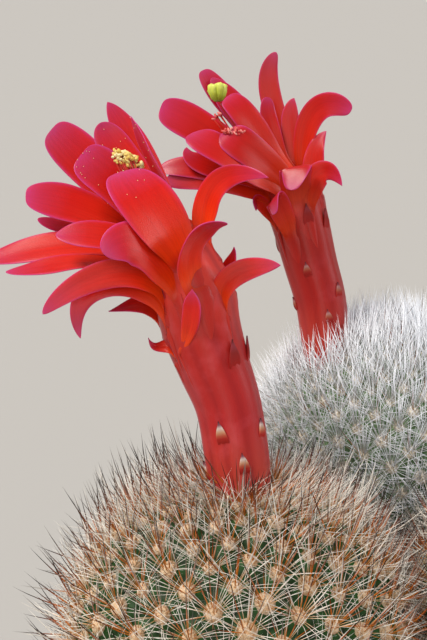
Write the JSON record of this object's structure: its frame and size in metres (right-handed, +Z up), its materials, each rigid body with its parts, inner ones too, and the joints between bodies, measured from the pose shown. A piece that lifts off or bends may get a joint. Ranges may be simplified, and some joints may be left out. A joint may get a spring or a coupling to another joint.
{
  "type": "potted cactus",
  "caption": "Clump of short columnar cacti with dense spines and long-tubed red flowers, growing in gritty soil in a plain tapered pot.",
  "frame": {"origin": "middle of the pot's foot, on the surface that the pot stands on", "axes": "+Z up, +X to the viewer's right and +Y away from the viewer"},
  "size_m": [0.142, 0.142, 0.2033],
  "materials": {
    "terracotta": "matt, unglazed",
    "grit": "rough",
    "green_flesh": "waxy, under dense spines",
    "pale_flesh": "waxy, under dense pale spines",
    "red_petal": "satin",
    "pollen": "powdery",
    "stigma_lime": "moist satin"
  },
  "bodies": {
    "root": {"pot": "terracotta", "soil": "grit", "front_stem": "green_flesh", "back_stem": "pale_flesh", "right_stem": "green_flesh", "front_flower": "red_petal", "back_flower": "red_petal", "front_anthers": "pollen", "back_stigma": "stigma_lime"}
  },
  "joints": []
}
